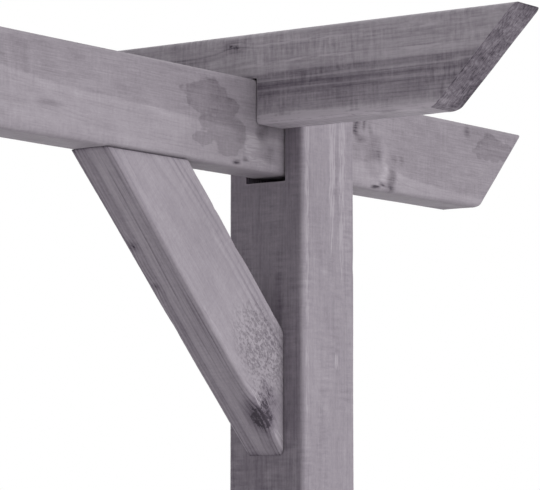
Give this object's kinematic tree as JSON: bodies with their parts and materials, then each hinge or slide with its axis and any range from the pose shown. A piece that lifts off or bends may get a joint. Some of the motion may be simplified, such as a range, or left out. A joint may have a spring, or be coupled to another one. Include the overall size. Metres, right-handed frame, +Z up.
{
  "type": "timber garden portal pergola",
  "caption": "Timber portal pergola: slotted posts carry a beam on edge, notched cross arms ride over it beside the posts, and diagonal braces stiffen the corners.",
  "frame": {"origin": "centre of the left post's foot, at ground level", "axes": "+X along the beam towards the right post, +Y through the passage, +Z up"},
  "size_m": [2.4, 0.634, 2.2],
  "materials": {
    "post_timber": "planed softwood, grey translucent stain",
    "beam_timber": "planed softwood, grey translucent stain",
    "arm_timber": "planed softwood, grey translucent stain",
    "brace_timber": "planed softwood, grey translucent stain",
    "galvanised_screw": "dull galvanised steel"
  },
  "bodies": {
    "root": {"left_post": "post_timber", "right_post": "post_timber", "main_beam": "beam_timber", "left_cross_arm": "arm_timber", "right_cross_arm": "arm_timber", "left_brace": "brace_timber", "right_brace": "brace_timber"}
  },
  "joints": []
}
